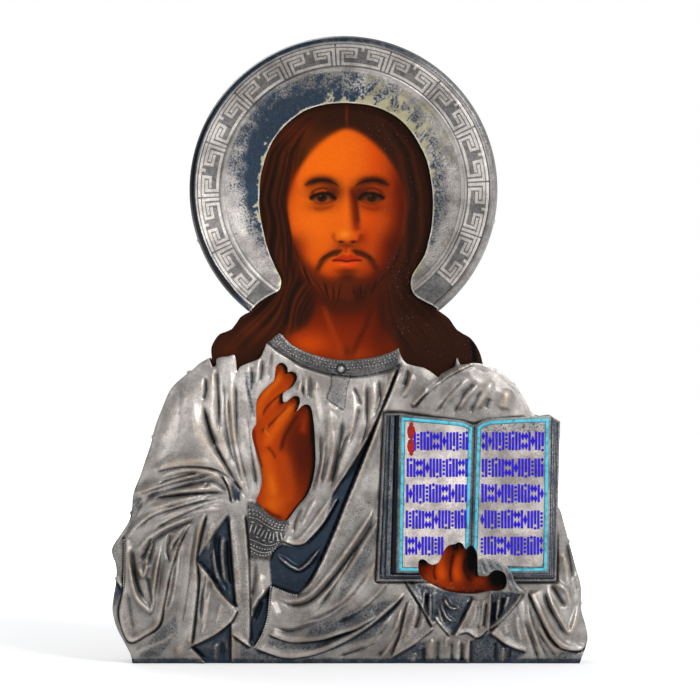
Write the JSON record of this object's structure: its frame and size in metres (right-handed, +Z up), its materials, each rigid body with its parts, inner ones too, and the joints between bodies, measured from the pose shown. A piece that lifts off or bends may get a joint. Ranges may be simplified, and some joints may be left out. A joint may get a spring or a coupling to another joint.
{
  "type": "oklad icon cover",
  "caption": "Figure-shaped icon in a pressed and chased silver cover: halo dish, draped garments with hand openings, open book, panel and hanging ring.",
  "frame": {"origin": "on the underside of the cover's bottom edge, midway across, below the middle of the board's thickness", "axes": "+Z up the figure, +X to the right as seen from the front, -Y out of the front"},
  "size_m": [0.2279, 0.0431, 0.3009],
  "materials": {
    "silver": "chased silver sheet, blued and dark in the hollows, worn bright on the ridges",
    "page_silver": "matte mottled silver with fired enamel ornament",
    "enamel": "opaque fired enamel",
    "painted_panel": "tempera and oil over gesso under old varnish",
    "wood": "old lime wood, aged and dry",
    "iron": "dark forged iron"
  },
  "bodies": {
    "icon": {"board_plank_left": "wood", "board_plank_centre": "wood", "board_plank_right": "wood", "lower_batten": "wood", "upper_batten": "wood", "painted_ground": "painted_panel", "riza_sheet": "silver", "halo": "silver", "book_shell": "silver", "left_page_plate": "page_silver", "right_page_plate": "page_silver", "left_page_border": "enamel", "right_page_border": "enamel", "collar_button": "silver", "riza_nail_left_1": "silver", "riza_nail_left_2": "silver", "riza_nail_left_3": "silver", "riza_nail_left_4": "silver", "riza_nail_left_5": "silver", "riza_nail_right_1": "silver", "riza_nail_right_2": "silver", "riza_nail_right_3": "silver", "riza_nail_right_4": "silver", "riza_nail_right_5": "silver", "halo_nail_1": "silver", "halo_nail_2": "silver", "halo_nail_3": "silver", "halo_nail_4": "silver", "halo_nail_5": "silver", "hanger_plate": "iron", "hanger_screw_left": "iron", "hanger_screw_right": "iron"},
    "ring": {"hanger_ring": "iron"}
  },
  "joints": [
    {"name": "ring_hinge", "type": "hinge", "parent": "icon", "child": "ring", "pos_m": [0, 0.0144, 0.26175], "axis": [1, 0, 0], "range_deg": [0, 180]}
  ]
}
